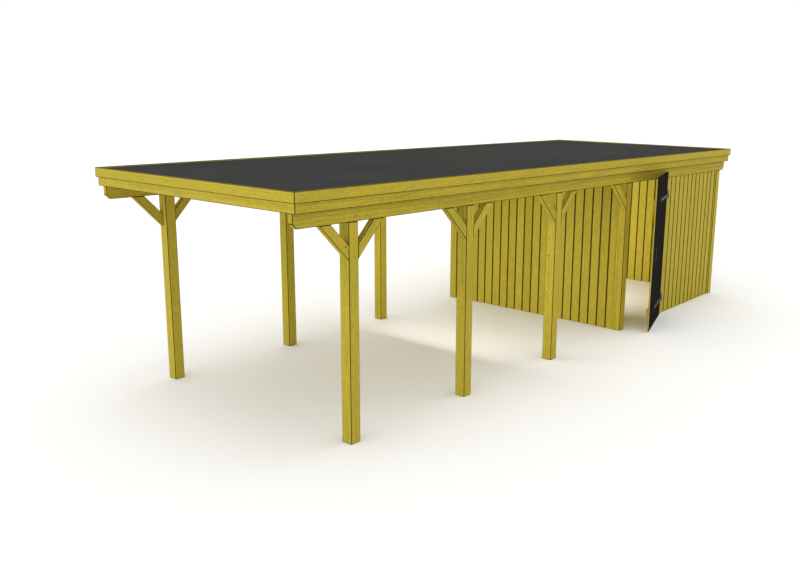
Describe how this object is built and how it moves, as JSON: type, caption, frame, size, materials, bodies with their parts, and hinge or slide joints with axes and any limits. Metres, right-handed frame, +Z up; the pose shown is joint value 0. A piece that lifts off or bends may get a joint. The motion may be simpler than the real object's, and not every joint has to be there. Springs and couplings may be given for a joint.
{
  "type": "timber carport with a boarded store",
  "caption": "Flat-roofed timber carport on square posts with knee braces, two stepped edge boards and a boarded store room at the rear whose plank door swings outwards.",
  "frame": {"origin": "centre of the front left post's foot, on the ground: the point from which the posts are set out", "axes": "+X across to the right seen from the front, +Y along the carport from the open front to the store at the rear, +Z up"},
  "size_m": [3.2996, 8.85, 2.401],
  "materials": {
    "impregnated_softwood": "planed, pressure-impregnated yellow-green, unpainted",
    "dark_stained_softwood": "opaque near-black stain, matt",
    "roofing_membrane": "dark grey roofing sheet, matt",
    "black_coated_steel": "black powder coat, satin"
  },
  "bodies": {
    "frame": {"post_left_1": "impregnated_softwood", "post_left_2": "impregnated_softwood", "post_left_3": "impregnated_softwood", "post_left_4": "impregnated_softwood", "post_left_5": "impregnated_softwood", "post_right_1": "impregnated_softwood", "post_right_2": "impregnated_softwood", "post_right_3": "impregnated_softwood", "post_right_4": "impregnated_softwood", "post_right_5": "impregnated_softwood", "post_right_6": "impregnated_softwood", "beam_left": "impregnated_softwood", "beam_right": "impregnated_softwood", "braces_left_1": "impregnated_softwood", "braces_left_2": "impregnated_softwood", "braces_left_3": "impregnated_softwood", "braces_left_4": "impregnated_softwood", "braces_right_1": "impregnated_softwood", "braces_right_2": "impregnated_softwood", "braces_right_3": "impregnated_softwood", "braces_right_4": "impregnated_softwood", "rafters": "impregnated_softwood", "roof_deck": "impregnated_softwood", "roof_membrane": "roofing_membrane", "edge_board_upper_front": "impregnated_softwood", "edge_board_upper_right": "impregnated_softwood", "edge_board_upper_rear": "impregnated_softwood", "edge_board_upper_left": "impregnated_softwood", "edge_board_lower_front": "impregnated_softwood", "edge_board_lower_right": "impregnated_softwood", "edge_board_lower_rear": "impregnated_softwood", "edge_board_lower_left": "impregnated_softwood", "wall_front": "impregnated_softwood", "wall_rear": "impregnated_softwood", "wall_left": "impregnated_softwood", "wall_right": "impregnated_softwood", "wall_top_rails": "impregnated_softwood", "hinge_pins": "black_coated_steel"},
    "door": {"door_boards": "dark_stained_softwood", "door_ledges": "impregnated_softwood", "door_straps": "black_coated_steel", "door_pull": "black_coated_steel"}
  },
  "joints": [
    {"name": "door_swing", "type": "hinge", "parent": "frame", "child": "door", "pos_m": [2.847, 6.115, 1], "axis": [0, 0, 1], "range_deg": [-18, 152]}
  ]
}
